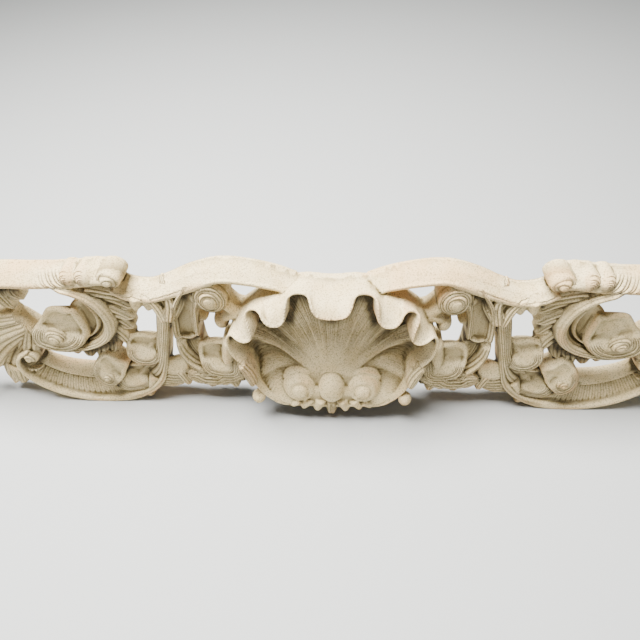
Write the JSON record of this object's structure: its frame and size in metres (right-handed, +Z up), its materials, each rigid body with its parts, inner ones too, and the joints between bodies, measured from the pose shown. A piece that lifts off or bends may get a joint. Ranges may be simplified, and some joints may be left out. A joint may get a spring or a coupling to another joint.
{
  "type": "carved headpiece",
  "caption": "Openwork rococo headpiece in cream cast stone: a scallop shell between scrolled acanthus wings, flat behind.",
  "frame": {"origin": "on the ground, below the middle of the panel's length and depth", "axes": "+X along the panel to its right end seen from the front, +Y towards the flat back, +Z up"},
  "size_m": [1.3124, 0.075, 0.3108],
  "materials": {
    "cast_stone": "matt sandy cast stone, warm cream, rubbed ochre on the high places"
  },
  "bodies": {
    "root": {"carved_headpiece": "cast_stone"}
  },
  "joints": []
}
